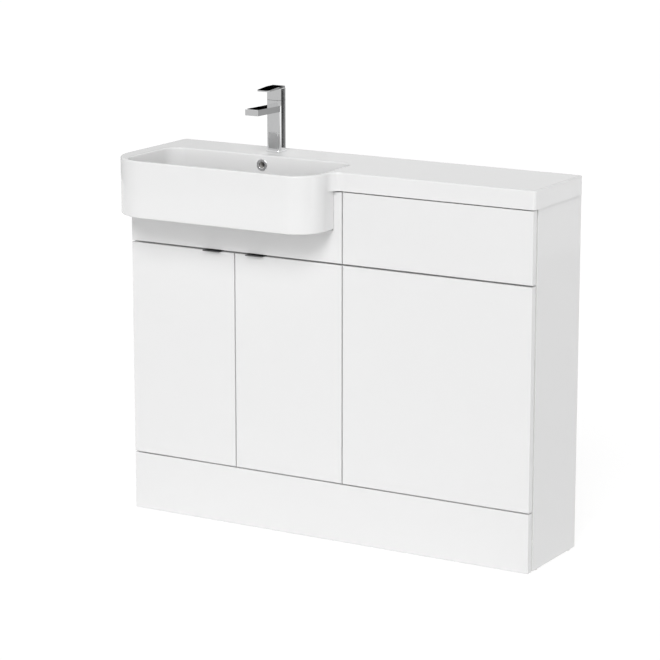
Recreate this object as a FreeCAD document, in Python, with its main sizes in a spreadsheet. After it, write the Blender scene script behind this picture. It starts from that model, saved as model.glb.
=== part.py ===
"""Combination vanity unit: basin cabinet and WC cabinet side by side under one cast basin top."""
import FreeCAD
import Part
import Sketcher
import math
import os
from types import SimpleNamespace

Vector = FreeCAD.Vector

# Driving dimensions in millimetres (angles in degrees)
SIZES = {
    # Whole unit
    "vanity_width": 600,
    "wc_width": 500,
    "cabinet_depth": 248,
    "top_height": 903.5,
    # Boards and the gaps between the fronts
    "board": 18,
    "front_board": 18,
    "front_gap": 4,
    "front_round": 1.6,
    "reveal": 3,
    "plinth_height": 144.5,
    "plinth_gap": 3,
    "door_gap": 4,
    "top_gap": 3,
    "fascia_height": 171.5,
    "floor_gap": 1.5,
    # Basin top
    "basin_projection": 112,
    "basin_shy": 22,
    "bowl_base": 26.5,
    "slab_thickness": 44.5,
    "slab_skin": 16,
    "slab_overhang": 1,
    "worktop_overhang": 3.5,
    "slab_lip": 3,
    "slab_rim": 26,
    "slab_corner": 8,
    "nose_gap": 1.5,
    "nose_round_left": 106,
    "nose_round_right": 72,
    "nose_round_under": 3,
    "blend_round": 26,
    "edge_round": 3.5,
    "rim_left": 45,
    "rim_right": 11,
    "rim_front": 9,
    "deck_depth": 127,
    "bowl_depth": 112,
    "bowl_draft": 3,
    "bowl_corner": 38,
    "bowl_corner_left": 50,
    "bowl_floor_round": 14,
    "tub_wall": 8,
    "tub_back_wall": 30,
    "tub_notch_gap": 2,
    # Overflow
    "overflow_drop": 24.5,
    "overflow_radius": 15,
    "overflow_bore": 8,
    "overflow_ring": 4,
    "overflow_seat": 1.4,
    "channel_width": 32,
    "channel_depth": 10,
    "channel_floor": 8,
    # Waste
    "waste_back": 51,
    "waste_hole": 23.5,
    "waste_flange": 31,
    "waste_flange_lip": 3,
    "waste_recess": 2,
    "waste_tail": 20.95,
    "waste_bore": 18,
    "waste_length": 75,
    "waste_groove": 1.5,
    "waste_groove_depth": 0.6,
    "waste_washer": 4,
    "waste_nut_flats": 58,
    "waste_nut": 12,
    "waste_guide": 7,
    "waste_guide_length": 28,
    "waste_guide_drop": 32,
    "waste_web": 3,
    "plug_radius": 28,
    "plug_edge": 2.5,
    "plug_crown": 3.5,
    "plug_shoulder": 0.7,
    "plug_stem": 4,
    "plug_seal": 1.2,
    # Tap
    "tap_back": 60,
    "tap_width": 38.5,
    "tap_depth": 34,
    "tap_corner": 8,
    "tap_hole": 17.5,
    "tap_base": 4,
    "tap_base_rim": 2.8,
    "tap_seam": 127.5,
    "tap_spigot": 16,
    "tap_spigot_drop": 9,
    "tap_inlet": 5,
    "tap_inlet_depth": 14,
    "tap_inlet_spread": 8,
    "tap_inlet_front": 5,
    "spout_width": 36,
    "spout_reach": 98,
    "spout_thickness": 15,
    "spout_height": 99.5,
    "spout_rise": 2.2,
    "spout_round": 0.8,
    "aerator_radius": 11,
    "aerator_bore": 8.2,
    "aerator_length": 6,
    "aerator_setback": 17,
    "aerator_recess": 5,
    "cartridge_radius": 14,
    "cartridge_height": 34,
    "cartridge_nut": 6,
    "spindle_radius": 5,
    "head_gap": 0.7,
    "head_height": 27.1,
    "head_wall": 5,
    "head_back_wall": 1.7,
    "head_cavity": 18.6,
    "head_heel": 2.5,
    "head_heel_rise": 0.9,
    "lever_thickness": 5.5,
    "lever_tip": 3,
    "lever_drop": 1.4,
    "lever_reach": 48,
    "lever_width": 34,
    "lever_pin": 2.5,
    "lever_pin_back": 12,
    "lever_pin_height": 10.1,
    "spindle_bar_width": 14,
    "spindle_bar_drop": 6.5,
    "stud_radius": 4,
    "stud_back": 9,
    "stud_length": 60,
    "clamp_radius": 24,
    "clamp_rubber": 3,
    "clamp_plate": 2.5,
    "clamp_slot": 27,
    "fixing_nut_flats": 13,
    "fixing_nut": 7,
    # Carcasses
    "foot_height": 3,
    "glide_radius": 8,
    "glide_inset": 25,
    "front_rail_height": 95,
    "front_rail_drop": 20,
    "back_rail_height": 90,
    "wc_rail_height": 80,
    "wall_hole": 3,
    "vanity_wall_holes": 400,
    "wc_wall_holes": 320,
    "shelf_height": 410,
    "shelf_setback": 25,
    "shelf_back_gap": 45,
    "shelf_side_gap": 1,
    "peg_radius": 2.5,
    "peg_length": 16,
    "peg_inset": 40,
    "bolt_radius": 4,
    "bolt_head": 9,
    "bolt_cap": 2,
    "bolt_inset": 60,
    "spacer_radius": 10,
    "spacer_inset": 60,
    # Doors, hinges and pulls
    "hinge_inset": 95,
    "cup_edge": 3,
    "cup_radius": 17.5,
    "cup_depth": 14.3,
    "cup_wall": 0.7,
    "cup_flange": 1,
    "cup_flange_height": 62,
    "cup_flange_width": 24,
    "pin_inset": 9.2,
    "pin_depth": 7.5,
    "pin_radius": 1.5,
    "pin_length": 21,
    "knuckle_radius": 2.4,
    "arm_strip": 2.4,
    "arm_bend": 1.9,
    "arm_width": 12,
    "arm_cheek": 1.6,
    "arm_cheek_depth": 4,
    "arm_end": 80,
    "arm_cheek_start": 32,
    "plate_height": 6.3,
    "plate_start": 38,
    "plate_end": 76,
    "plate_wing": 2,
    "plate_wing_height": 48,
    "plate_wing_width": 16,
    "bumper_radius": 5,
    "bumper_inset": 16,
    "bumper_gap": 0.3,
    "pull_width": 46,
    "pull_offset": 60.5,
    "pull_reach": 12,
    "pull_seat": 14,
    "pull_thickness": 2.2,
    # Push-fit clips
    "clip_disc": 9,
    "clip_disc_thickness": 2,
    "clip_pin": 3,
    "clip_pin_reach": 11,
    "clip_bush": 6,
    "clip_bush_length": 14,
    "clip_flange": 1.5,
    "clip_spread": 320,
    "clip_inset": 40,
    # Clearances
    "loose_fit": 0.1,
    "running_fit": 0.05,
}


class Size:
    """A number together with the sheet formula that gives it."""

    def __init__(self, value, text):
        self.value = float(value)
        self.text = text

    @staticmethod
    def of(other):
        return other if isinstance(other, Size) else Size(other, repr(float(other)))

    def __add__(self, other):
        other = Size.of(other)
        return Size(self.value + other.value, f"({self.text} + {other.text})")

    def __sub__(self, other):
        other = Size.of(other)
        return Size(self.value - other.value, f"({self.text} - {other.text})")

    def __mul__(self, other):
        other = Size.of(other)
        return Size(self.value * other.value, f"({self.text} * {other.text})")

    def __truediv__(self, other):
        other = Size.of(other)
        return Size(self.value / other.value, f"({self.text} / {other.text})")

    def __neg__(self):
        return Size(-self.value, f"(-1 * {self.text})")

    def __radd__(self, other):
        return Size.of(other) + self

    def __rsub__(self, other):
        return Size.of(other) - self

    def __rmul__(self, other):
        return Size.of(other) * self


def make_sheet(document):
    """Write the driving dimensions to the sheet and return them as sizes."""
    sheet = document.addObject("Spreadsheet::Sheet", "dims")
    for row, (alias, value) in enumerate(SIZES.items(), 1):
        sheet.set(f"A{row}", alias)
        sheet.set(f"B{row}", str(value))
        sheet.setAlias(f"B{row}", alias)
    document.recompute()
    return SimpleNamespace(**{alias: Size(value, f"dims.{alias}") for alias, value in SIZES.items()})


doc = FreeCAD.newDocument("combination_vanity_unit")
s = make_sheet(doc)
nodes = []

# Shared places in the frame: X to the right, Y to the wall, Z up from the floor
left_x = -(s.vanity_width + s.wc_width) / 2
split_x = left_x + s.vanity_width
right_x = split_x + s.wc_width
wall_y = (s.cabinet_depth + s.basin_projection) / 2
face_y = wall_y - s.cabinet_depth
back_face_y = face_y + s.front_board
carcass_y = back_face_y + s.front_gap
carcass_deep = wall_y - carcass_y
slab_z = s.top_height - s.slab_thickness
door_z = s.plinth_height + s.plinth_gap
fascia_z = slab_z - s.top_gap - s.fascia_height
door_top = fascia_z - s.door_gap
door_height = door_top - door_z
door_width = (s.vanity_width - 2 * s.reveal) / 2
left_edge = left_x + s.reveal / 2
right_edge = split_x - s.reveal / 2
vanity_inner = s.vanity_width - 2 * s.board
wc_inner = s.wc_width - 2 * s.board
wc_middle_x = split_x + s.wc_width / 2
basin_width = s.vanity_width - s.basin_shy
basin_height = s.bowl_depth + s.bowl_base
bowl_right = basin_width - s.rim_right
bowl_middle = (s.rim_left + bowl_right) / 2
basin_x = left_x - s.slab_overhang
basin_y = face_y - s.basin_projection
basin_z = s.top_height - basin_height
bowl_back = s.basin_projection + s.cabinet_depth - s.deck_depth
bowl_floor_z = s.top_height - s.bowl_depth
waste_x = basin_x + bowl_middle
waste_y = basin_y + bowl_back - s.waste_back
tap_y = wall_y - s.tap_back
hinge_levels = (door_z + s.hinge_inset, door_top - s.hinge_inset)


# Tools for the document
def bind(obj, **formulas):
    """Tie properties of an object to sheet formulas."""
    for name, size in formulas.items():
        obj.setExpression(name, Size.of(size).text)


def place(obj, x, y, z):
    """Tie the place of an object to sheet formulas."""
    for axis, size in zip("xyz", (x, y, z)):
        obj.setExpression(f"Placement.Base.{axis}", Size.of(size).text)
    return obj


def add(kind, label):
    """Add a named object to the document."""
    obj = doc.addObject(kind, label)
    obj.Label = label
    return obj


def keep(obj):
    """List a finished sub-part for writing."""
    nodes.append(obj)
    return obj


def block(label, x, y, z, length, width, height):
    """A box with its lowest corner at x, y, z."""
    box = add("Part::Box", label)
    bind(box, Length=length, Width=width, Height=height)
    return place(box, x, y, z)


def rod(label, x, y, z, radius, length, axis="Z"):
    """A cylinder from x, y, z along an axis."""
    turns = {"X": (Vector(0, 1, 0), 90), "Y": (Vector(1, 0, 0), -90), "Z": (Vector(0, 0, 1), 0)}
    cylinder = add("Part::Cylinder", label)
    bind(cylinder, Radius=radius, Height=length)
    cylinder.Placement.Rotation = FreeCAD.Rotation(*turns[axis])
    return place(cylinder, x, y, z)


def prism(label, x, y, z, flats, height):
    """A hexagon nut blank with its lower face at z."""
    nut = add("Part::Prism", label)
    nut.Polygon = 6
    bind(nut, Circumradius=flats / math.sqrt(3), Height=height)
    return place(nut, x, y, z)


def group(label, members):
    """Several separate solids as one sub-part."""
    compound = add("Part::Compound", label)
    compound.Links = members
    return compound


def fuse(label, members):
    """Members joined to one solid."""
    joined = add("Part::MultiFuse", label)
    joined.Shapes = members
    return joined


def cut(label, base, tools):
    """A base with tools taken out of it."""
    result = add("Part::Cut", label)
    result.Base = base
    result.Tool = tools[0] if len(tools) == 1 else group(f"{label}_tools", tools)
    return result


def ring(label, x, y, z, outer, inner, length, axis="Z"):
    """A tube from x, y, z along an axis."""
    whole = rod(f"{label}_outer", x, y, z, outer, length, axis)
    hole = rod(f"{label}_inner", x, y, z, inner, length, axis)
    return cut(label, whole, [hole])


def new_body(label, x, y, z):
    """An empty body with its own origin at x, y, z."""
    body = add("PartDesign::Body", label)
    return place(body, x, y, z)


def new_sketch(body, name, plane, lift=None):
    """A sketch on one of the body's own planes, raised along the plane's normal."""
    sketch = body.newObject("Sketcher::SketchObject", name)
    support = next(item for item in body.Origin.OriginFeatures if item.Role == plane)
    sketch.AttachmentSupport = [(support, "")]
    sketch.MapMode = "FlatFace"
    if lift is not None:
        sketch.setExpression("AttachmentOffset.Base.z", Size.of(lift).text)
    return sketch


def fix(sketch, axis, geometry, point, size):
    """Hold a point of a sketch at a signed distance from the origin."""
    size = Size.of(size)
    if abs(size.value) < 1e-9:
        other_axis = -2 if axis == "X" else -1
        sketch.addConstraint(Sketcher.Constraint("PointOnObject", geometry, point, other_axis))
        return
    ends = (-1, 1, geometry, point) if size.value > 0 else (geometry, point, -1, 1)
    index = sketch.addConstraint(Sketcher.Constraint(f"Distance{axis}", *ends, abs(size.value)))
    positive = size if size.value > 0 else -size
    sketch.setExpression(f"Constraints[{index}]", positive.text)


def outline(sketch, points):
    """A closed outline whose corners are held by sheet formulas."""
    corners = [Vector(Size.of(x).value, Size.of(y).value, 0) for x, y in points]
    count = len(points)
    first = len(sketch.Geometry)
    for index in range(count):
        sketch.addGeometry(Part.LineSegment(corners[index], corners[(index + 1) % count]))
    for index in range(count):
        line, following = first + index, first + (index + 1) % count
        sketch.addConstraint(Sketcher.Constraint("Coincident", line, 2, following, 1))
    for index, (x, y) in enumerate(points):
        fix(sketch, "X", first + index, 1, x)
        fix(sketch, "Y", first + index, 1, y)


def rectangle(sketch, x0, x1, y0, y1):
    """A rectangle between two corners."""
    outline(sketch, [(x0, y0), (x1, y0), (x1, y1), (x0, y1)])


def rounded_rectangle(sketch, x0, x1, y0, y1, radii):
    """A rectangle with its own radius at each corner, from the lower left one anticlockwise."""
    low_left, low_right, high_right, high_left = radii
    lines = [
        ((x0 + low_left, y0), (x1 - low_right, y0)),
        ((x1, y0 + low_right), (x1, y1 - high_right)),
        ((x1 - high_right, y1), (x0 + high_left, y1)),
        ((x0, y1 - high_left), (x0, y0 + low_left)),
    ]
    arcs = [
        (x1 - low_right, y0 + low_right, low_right),
        (x1 - high_right, y1 - high_right, high_right),
        (x0 + high_left, y1 - high_left, high_left),
        (x0 + low_left, y0 + low_left, low_left),
    ]
    for corner, (ends, (centre_x, centre_y, radius)) in enumerate(zip(lines, arcs)):
        start, end = (Vector(x.value, y.value, 0) for x, y in ends)
        line = sketch.addGeometry(Part.LineSegment(start, end))
        for point, (x, y) in enumerate(ends, 1):
            fix(sketch, "X", line, point, x)
            fix(sketch, "Y", line, point, y)
        whole = Part.Circle(Vector(centre_x.value, centre_y.value, 0), Vector(0, 0, 1), radius.value)
        quarter = math.pi / 2
        arc = sketch.addGeometry(Part.ArcOfCircle(whole, (corner - 1) * quarter, corner * quarter))
        fix(sketch, "X", arc, 3, centre_x)
    for line in range(0, 8, 2):
        sketch.addConstraint(Sketcher.Constraint("Coincident", line, 2, line + 1, 1))
        sketch.addConstraint(Sketcher.Constraint("Coincident", line + 1, 2, (line + 2) % 8, 1))


def circle(sketch, x, y, radius):
    """A circle whose centre and radius are held by sheet formulas."""
    centre = Vector(Size.of(x).value, Size.of(y).value, 0)
    index = sketch.addGeometry(Part.Circle(centre, Vector(0, 0, 1), radius.value))
    fix(sketch, "X", index, 3, x)
    fix(sketch, "Y", index, 3, y)
    radius_index = sketch.addConstraint(Sketcher.Constraint("Radius", index, radius.value))
    sketch.setExpression(f"Constraints[{radius_index}]", radius.text)


def extrude(body, kind, sketch, length, reverse=False, middle=False):
    """A pad or pocket of a sketch."""
    feature = body.newObject(f"PartDesign::{kind}", f"{sketch.Name}_{kind.lower()}")
    feature.Profile = sketch
    feature.Reversed = reverse
    feature.Midplane = middle
    bind(feature, Length=length)
    doc.recompute()
    return feature


def pad(body, sketch, length, reverse=False, middle=False):
    """Material added along a sketch's normal."""
    return extrude(body, "Pad", sketch, length, reverse, middle)


def pocket(body, sketch, length, reverse=False, middle=False):
    """Material taken away against a sketch's normal; it has to cut something."""
    before = body.Tip.Shape.Volume
    feature = extrude(body, "Pocket", sketch, length, reverse, middle)
    if not feature.Shape.Volume < before - 1e-6:
        raise ValueError(f"{feature.Label} cuts nothing")
    return feature


def revolve(body, sketch):
    """A full turn of a profile about the sketch's upright axis."""
    feature = body.newObject("PartDesign::Revolution", f"{sketch.Name}_turn")
    feature.Profile = sketch
    feature.ReferenceAxis = (sketch, ["V_Axis"])
    feature.Angle = 360
    doc.recompute()
    return feature


def round_edges(body, name, radius, test):
    """A fillet on the edges of the body's last feature that pass a test."""
    base = body.Tip
    picked = [f"Edge{i}" for i, edge in enumerate(base.Shape.Edges, 1) if test(edge.BoundBox)]
    if not picked:
        raise ValueError(f"{name} finds no edge")
    feature = body.newObject("PartDesign::Fillet", name)
    feature.Base = (base, picked)
    bind(feature, Radius=radius)
    doc.recompute()
    return feature


def near(value, target):
    """True where two lengths agree within a hundredth."""
    return abs(value - target) < 0.01


def upright(box):
    """True for the box of a vertical edge."""
    return box.XLength < 0.01 and box.YLength < 0.01 and box.ZLength > 0.01


# Basin top: one casting with the bowed basin, the tap deck and the worktop
def make_basin_top():
    body = new_body("basin_top", basin_x, basin_y, basin_z)
    top = basin_height
    width = s.slab_overhang + s.vanity_width + s.wc_width + s.worktop_overhang
    depth = s.cabinet_depth + s.basin_projection
    slab_front = s.basin_projection - s.slab_lip
    nose_back = s.basin_projection - s.nose_gap
    under = top - s.slab_thickness

    nose = new_sketch(body, "nose", "XY_Plane")
    rectangle(nose, 0, basin_width, 0, nose_back)
    pad(body, nose, top)
    round_edges(body, "nose_left", s.nose_round_left,
                lambda box: upright(box) and near(box.XMin, 0) and near(box.YMin, 0))
    round_edges(body, "nose_right", s.nose_round_right,
                lambda box: upright(box) and near(box.XMin, basin_width.value) and near(box.YMin, 0))
    round_edges(body, "nose_under", s.nose_round_under,
                lambda box: near(box.ZMax, 0) and not near(box.YMin, nose_back.value))

    slab = new_sketch(body, "slab", "XY_Plane", under)
    rectangle(slab, 0, width, slab_front, depth)
    pad(body, slab, s.slab_thickness)
    round_edges(body, "slab_corners", s.slab_corner,
                lambda box: upright(box) and near(box.ZMax, top.value) and
                (near(box.YMin, depth.value) or near(box.XMin, width.value)))
    round_edges(body, "blend", s.blend_round,
                lambda box: upright(box) and near(box.XMin, basin_width.value)
                and near(box.YMin, slab_front.value))

    tub = new_sketch(body, "tub", "XY_Plane")
    rectangle(tub, s.rim_left - s.tub_wall, bowl_right + s.tub_wall,
              nose_back - s.tub_back_wall, bowl_back + s.tub_back_wall)
    pad(body, tub, under + s.slab_skin)

    bowl = new_sketch(body, "bowl", "XY_Plane", top)
    front_right = s.nose_round_right - s.rim_front
    rounded_rectangle(bowl, s.rim_left, bowl_right, s.rim_front, bowl_back,
                      (s.bowl_corner_left, front_right, s.bowl_corner, s.bowl_corner))
    hollow = pocket(body, bowl, s.bowl_depth)
    hollow.setExpression("TaperAngle", (-s.bowl_draft).text)
    doc.recompute()
    floor_level = (top - s.bowl_depth).value
    round_edges(body, "bowl_floor", s.bowl_floor_round,
                lambda box: near(box.ZMin, floor_level) and near(box.ZMax, floor_level))
    round_edges(body, "rim", s.edge_round,
                lambda box: near(box.ZMin, top.value) and near(box.ZMax, top.value))

    deck = new_sketch(body, "deck_hollow", "XY_Plane")
    rectangle(deck, s.rim_left, bowl_right, bowl_back + s.tub_back_wall, depth - s.slab_rim)
    pocket(body, deck, top - s.slab_skin, reverse=True)
    worktop = new_sketch(body, "worktop_hollow", "XY_Plane")
    rectangle(worktop, s.vanity_width + s.slab_rim, width - s.slab_rim,
              slab_front + s.slab_rim, depth - s.slab_rim)
    pocket(body, worktop, top - s.slab_skin, reverse=True)

    tap_hole = new_sketch(body, "tap_hole", "XY_Plane", top)
    circle(tap_hole, bowl_middle, depth - s.tap_back, s.tap_hole)
    pocket(body, tap_hole, s.slab_thickness)
    waste_hole = new_sketch(body, "waste_hole", "XY_Plane", top - s.bowl_depth)
    circle(waste_hole, bowl_middle, bowl_back - s.waste_back, s.waste_hole)
    pocket(body, waste_hole, s.bowl_base)
    waste_seat = new_sketch(body, "waste_seat", "XY_Plane", top - s.bowl_depth)
    circle(waste_seat, bowl_middle, bowl_back - s.waste_back, s.waste_flange + s.loose_fit)
    pocket(body, waste_seat, s.waste_recess)

    overflow_z = top - s.overflow_drop
    channel_back = bowl_back + s.tub_back_wall / 2 + s.channel_depth
    seat = new_sketch(body, "overflow_seat", "XZ_Plane", -bowl_back / 2)
    circle(seat, bowl_middle, overflow_z, s.overflow_radius + s.loose_fit)
    pocket(body, seat, bowl_back / 2 + s.overflow_seat)
    bore = new_sketch(body, "overflow_bore", "XZ_Plane", -bowl_back / 2)
    circle(bore, bowl_middle, overflow_z, s.overflow_bore)
    pocket(body, bore, channel_back - bowl_back / 2)
    half = s.channel_width / 2
    drop = new_sketch(body, "overflow_drop", "XY_Plane", overflow_z + s.overflow_bore)
    rectangle(drop, bowl_middle - half, bowl_middle + half, channel_back - s.channel_depth, channel_back)
    pocket(body, drop, overflow_z + s.overflow_bore - s.channel_floor)
    run = new_sketch(body, "overflow_run", "XY_Plane", s.channel_floor + s.channel_depth)
    rectangle(run, bowl_middle - half, bowl_middle + half, bowl_back - s.waste_back, channel_back)
    pocket(body, run, s.channel_depth)
    return keep(body)


def make_overflow_ring():
    body = new_body("overflow_ring", waste_x, basin_y + bowl_back + s.overflow_seat,
                    s.top_height - s.overflow_drop)
    profile = new_sketch(body, "ring_face", "XZ_Plane")
    circle(profile, 0, 0, s.overflow_radius)
    circle(profile, 0, 0, s.overflow_bore)
    pad(body, profile, s.overflow_ring)
    round_edges(body, "ring_round", s.overflow_ring / 3, lambda box: near(box.YMin, -s.overflow_ring.value)
                and near(box.YMax, -s.overflow_ring.value))
    return keep(body)


# Waste: flanged tail with a pop-up plug, clamped through the bowl floor
def make_waste():
    body = new_body("waste_body", waste_x, waste_y, bowl_floor_z)
    flange_top = s.waste_flange_lip - s.waste_recess
    groove_top = -s.bowl_base - s.waste_washer - s.waste_nut
    profile = new_sketch(body, "waste_profile", "XZ_Plane")
    outline(profile, [
        (s.waste_bore, flange_top),
        (s.waste_flange, flange_top),
        (s.waste_flange, -s.waste_recess),
        (s.waste_tail, -s.waste_recess),
        (s.waste_tail, groove_top),
        (s.waste_tail - s.waste_groove_depth, groove_top),
        (s.waste_tail - s.waste_groove_depth, groove_top - s.waste_groove),
        (s.waste_tail, groove_top - s.waste_groove),
        (s.waste_tail, -s.waste_length),
        (s.waste_bore, -s.waste_length),
    ])
    revolve(body, profile)
    slots = new_sketch(body, "waste_slots", "XZ_Plane")
    channel_low = s.channel_floor - s.bowl_base
    rectangle(slots, -s.waste_bore / 2, s.waste_bore / 2, channel_low, channel_low + s.channel_depth)
    pocket(body, slots, 2 * s.waste_flange, middle=True)
    keep(body)

    underside_z = basin_z
    washer_z = underside_z - s.waste_washer
    keep(ring("waste_washer", waste_x, waste_y, washer_z, s.waste_flange,
              s.waste_tail + s.loose_fit, s.waste_washer))
    nut = prism("waste_nut_blank", waste_x, waste_y, washer_z - s.waste_nut, s.waste_nut_flats, s.waste_nut)
    thread = rod("waste_nut_bore", waste_x, waste_y, washer_z - s.waste_nut,
                 s.waste_tail + s.loose_fit, s.waste_nut)
    keep(cut("waste_backnut", nut, [thread]))

    guide_z = bowl_floor_z - s.waste_guide_drop - s.waste_guide_length / 2
    hub = rod("guide_hub", waste_x, waste_y, guide_z, s.waste_guide, s.waste_guide_length)
    span = 2 * (s.waste_bore - s.loose_fit)
    webs = [
        block("guide_web_x", waste_x - span / 2, waste_y - s.waste_web / 2, guide_z,
              span, s.waste_web, s.waste_guide_length / 2),
        block("guide_web_y", waste_x - s.waste_web / 2, waste_y - span / 2, guide_z,
              s.waste_web, span, s.waste_guide_length / 2),
    ]
    tube = rod("guide_limit", waste_x, waste_y, guide_z, s.waste_bore - s.loose_fit, s.waste_guide_length)
    spider = add("Part::MultiCommon", "guide_spider")
    spider.Shapes = [fuse("guide_cross", [hub] + webs), tube]
    bore = rod("guide_bore", waste_x, waste_y, guide_z, s.plug_stem + s.running_fit, s.waste_guide_length)
    keep(cut("waste_guide", spider, [bore]))

    plug_z = bowl_floor_z + flange_top + s.plug_seal
    plug = new_body("waste_plug", waste_x, waste_y, plug_z)
    stem_low = bowl_floor_z - s.waste_guide_drop - s.waste_guide_length / 3 - plug_z
    cap = new_sketch(plug, "plug_profile", "XZ_Plane")
    outline(cap, [
        (0, s.plug_edge + s.plug_crown),
        (s.plug_radius / 2, s.plug_edge + s.plug_crown - s.plug_shoulder),
        (s.plug_radius, s.plug_edge),
        (s.plug_radius, 0),
        (s.plug_stem, 0),
        (s.plug_stem, stem_low),
        (0, stem_low),
    ])
    revolve(plug, cap)
    round_edges(plug, "plug_round", s.plug_edge / 2,
                lambda box: near(box.XMax, s.plug_radius.value) and near(box.ZMin, s.plug_edge.value)
                and near(box.ZMax, s.plug_edge.value))
    keep(plug)
    keep(ring("plug_seal", waste_x, waste_y, plug_z - s.plug_seal, s.plug_radius - s.plug_edge,
              s.waste_bore + s.plug_edge, s.plug_seal))


# Mixer tap: square column with a rising spout and a lever head on a cartridge
def make_tap():
    x, y, z = waste_x, tap_y, s.top_height
    half_width, half_depth = s.tap_width / 2, s.tap_depth / 2

    plate = new_body("tap_base_plate", x, y, z)
    foot = new_sketch(plate, "foot", "XY_Plane")
    rectangle(foot, -half_width - s.tap_base_rim, half_width + s.tap_base_rim,
              -half_depth - s.tap_base_rim, half_depth + s.tap_base_rim)
    pad(plate, foot, s.tap_base)
    round_edges(plate, "foot_corners", s.tap_corner + s.tap_base_rim, upright)
    round_edges(plate, "foot_round", s.tap_base_rim / 2, lambda box: near(box.ZMin, s.tap_base.value))
    hole = new_sketch(plate, "foot_hole", "XY_Plane", s.tap_base)
    circle(hole, 0, 0, s.tap_spigot + s.loose_fit)
    pocket(plate, hole, s.tap_base)
    keep(plate)

    body = new_body("tap_body", x, y, z)
    column = new_sketch(body, "column", "XY_Plane", s.tap_base)
    rectangle(column, -half_width, half_width, -half_depth, half_depth)
    pad(body, column, s.tap_seam - s.tap_base)
    round_edges(body, "column_corners", s.tap_corner, upright)
    spout = new_sketch(body, "spout", "YZ_Plane")
    tip = -half_depth - s.spout_reach
    root = -half_depth + s.tap_corner
    outline(spout, [
        (root, s.spout_height),
        (tip, s.spout_height + s.spout_rise),
        (tip, s.spout_height + s.spout_rise + s.spout_thickness),
        (root, s.spout_height + s.spout_thickness),
    ])
    pad(body, spout, s.spout_width, middle=True)
    round_edges(body, "spout_tip", s.spout_round,
                lambda box: near(box.YMin, tip.value) and near(box.YMax, tip.value))
    spigot = new_sketch(body, "spigot", "XY_Plane", s.tap_base)
    circle(spigot, 0, 0, s.tap_spigot)
    pad(body, spigot, s.tap_base + s.tap_spigot_drop, reverse=True)
    chamber = new_sketch(body, "chamber", "XY_Plane", s.tap_seam)
    circle(chamber, 0, 0, s.cartridge_radius + s.loose_fit)
    pocket(body, chamber, s.cartridge_height + s.cartridge_nut)
    nozzle = new_sketch(body, "nozzle", "XY_Plane")
    nozzle_y = tip + s.aerator_setback
    circle(nozzle, 0, nozzle_y, s.aerator_radius + s.loose_fit)
    pocket(body, nozzle, s.spout_height + s.spout_rise + s.aerator_recess, reverse=True)
    inlets = new_sketch(body, "inlets", "XY_Plane", -s.tap_spigot_drop)
    for side in (-1, 1):
        circle(inlets, side * s.tap_inlet_spread, -s.tap_inlet_front, s.tap_inlet)
    pocket(body, inlets, s.tap_inlet_depth, reverse=True)
    stud_hole = new_sketch(body, "stud_hole", "XY_Plane", -s.tap_spigot_drop)
    circle(stud_hole, 0, s.stud_back, s.stud_radius + s.loose_fit)
    pocket(body, stud_hole, s.tap_inlet_depth, reverse=True)
    keep(body)

    aerator_z = z + s.spout_height + s.spout_rise + s.aerator_recess - s.aerator_length
    keep(ring("tap_aerator", x, y + nozzle_y, aerator_z, s.aerator_radius, s.aerator_bore,
              s.aerator_length))

    cartridge_z = z + s.tap_seam - s.cartridge_nut - s.cartridge_height
    keep(ring("tap_cartridge", x, y, cartridge_z, s.cartridge_radius, s.spindle_radius + s.running_fit,
              s.cartridge_height))
    keep(ring("tap_cartridge_nut", x, y, cartridge_z + s.cartridge_height, s.cartridge_radius,
              s.spindle_radius + s.cartridge_nut / 2, s.cartridge_nut))

    head_z = s.tap_seam + s.head_gap
    pin_z = z + head_z + s.lever_pin_height
    stem_z = cartridge_z + s.cartridge_nut
    stem = rod("spindle_stem", x, y, stem_z, s.spindle_radius, pin_z - stem_z)
    bar_low = pin_z - s.spindle_bar_drop
    bar = block("spindle_bar", x - s.spindle_bar_width / 2, y - s.spindle_radius, bar_low,
                s.spindle_bar_width, s.spindle_radius + s.lever_pin_back,
                2 * s.spindle_bar_drop - s.lever_pin)
    pin_half = half_width - s.head_wall / 2
    pin = rod("spindle_pin", x - pin_half, y + s.lever_pin_back, pin_z, s.lever_pin, 2 * pin_half, "X")
    keep(fuse("tap_spindle", [stem, bar, pin]))

    lever = new_body("tap_lever", x, y, z + head_z)
    head = new_sketch(lever, "head", "XY_Plane")
    rectangle(head, -half_width, half_width, -half_depth, half_depth)
    pad(lever, head, s.head_height)
    round_edges(lever, "head_corners", s.tap_corner, upright)
    paddle = new_sketch(lever, "paddle", "YZ_Plane")
    front = -half_depth - s.lever_reach
    outline(paddle, [
        (front, s.head_height - s.lever_drop),
        (front, s.head_height - s.lever_drop + s.lever_tip),
        (-half_depth, s.head_height + s.lever_thickness),
        (half_depth - s.tap_corner / 2, s.head_height + s.lever_thickness),
        (half_depth - s.tap_corner / 2, s.head_height),
        (-half_depth, s.head_height),
    ])
    pad(lever, paddle, s.lever_width, middle=True)
    round_edges(lever, "paddle_tip", s.tap_corner,
                lambda box: upright(box) and near(box.YMin, front.value))
    cavity = new_sketch(lever, "cavity", "XY_Plane")
    rectangle(cavity, -half_width + s.head_wall, half_width - s.head_wall,
              -half_depth + s.head_wall, half_depth - s.head_back_wall)
    pocket(lever, cavity, s.head_cavity, reverse=True)
    heel = new_sketch(lever, "heel", "YZ_Plane")
    outline(heel, [(half_depth - s.head_heel, 0), (half_depth, 0), (half_depth, s.head_heel_rise)])
    pocket(lever, heel, s.tap_width, middle=True)
    eyes = new_sketch(lever, "eyes", "YZ_Plane")
    circle(eyes, s.lever_pin_back, s.lever_pin_height, s.lever_pin + s.running_fit)
    pocket(lever, eyes, 2 * (pin_half + s.loose_fit), middle=True)
    keep(lever)

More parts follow.
